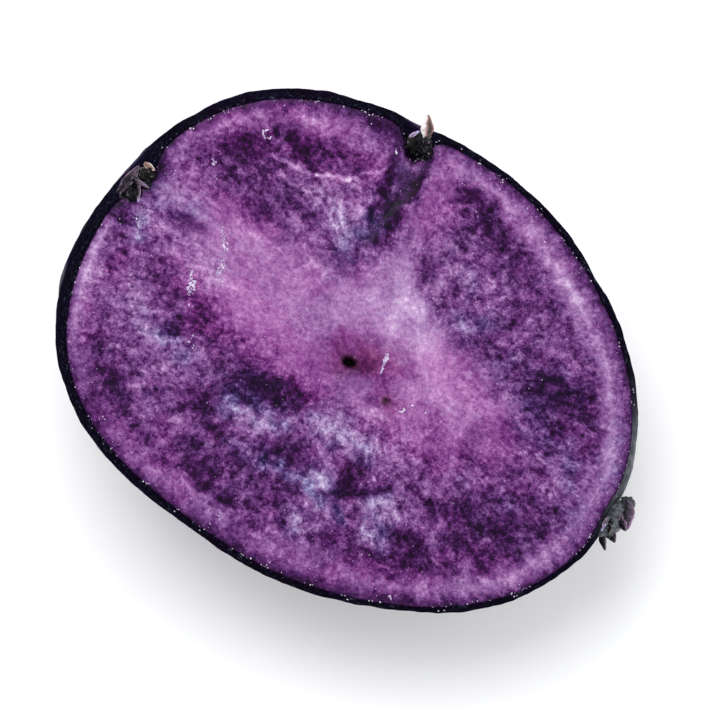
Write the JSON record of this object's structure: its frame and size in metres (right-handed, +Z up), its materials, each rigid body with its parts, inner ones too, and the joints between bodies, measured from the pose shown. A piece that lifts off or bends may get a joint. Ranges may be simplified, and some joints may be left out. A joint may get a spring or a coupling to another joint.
{
  "type": "halved purple potato",
  "caption": "Lengthwise half of a purple potato lying on its skin with the cut face up: marbled violet flesh, dark skin, shallow eyes and short shoots at the edge.",
  "frame": {"origin": "middle of the footprint, on the surface that the half lies on", "axes": "+X along the tuber towards its stalk end, where the cut slopes down, +Z up"},
  "size_m": [0.098, 0.0734, 0.0405],
  "materials": {
    "cut_flesh": "moist cut flesh, violet, marbled with dark purple and pale lilac",
    "potato_skin": "thin leathery skin, deep violet with wine red and slate patches, nearly black near the cut",
    "sprout_scale": "papery bud scales, brown purple with paler edges"
  },
  "bodies": {
    "root": {"purple_potato_half": "cut_flesh"}
  },
  "joints": []
}
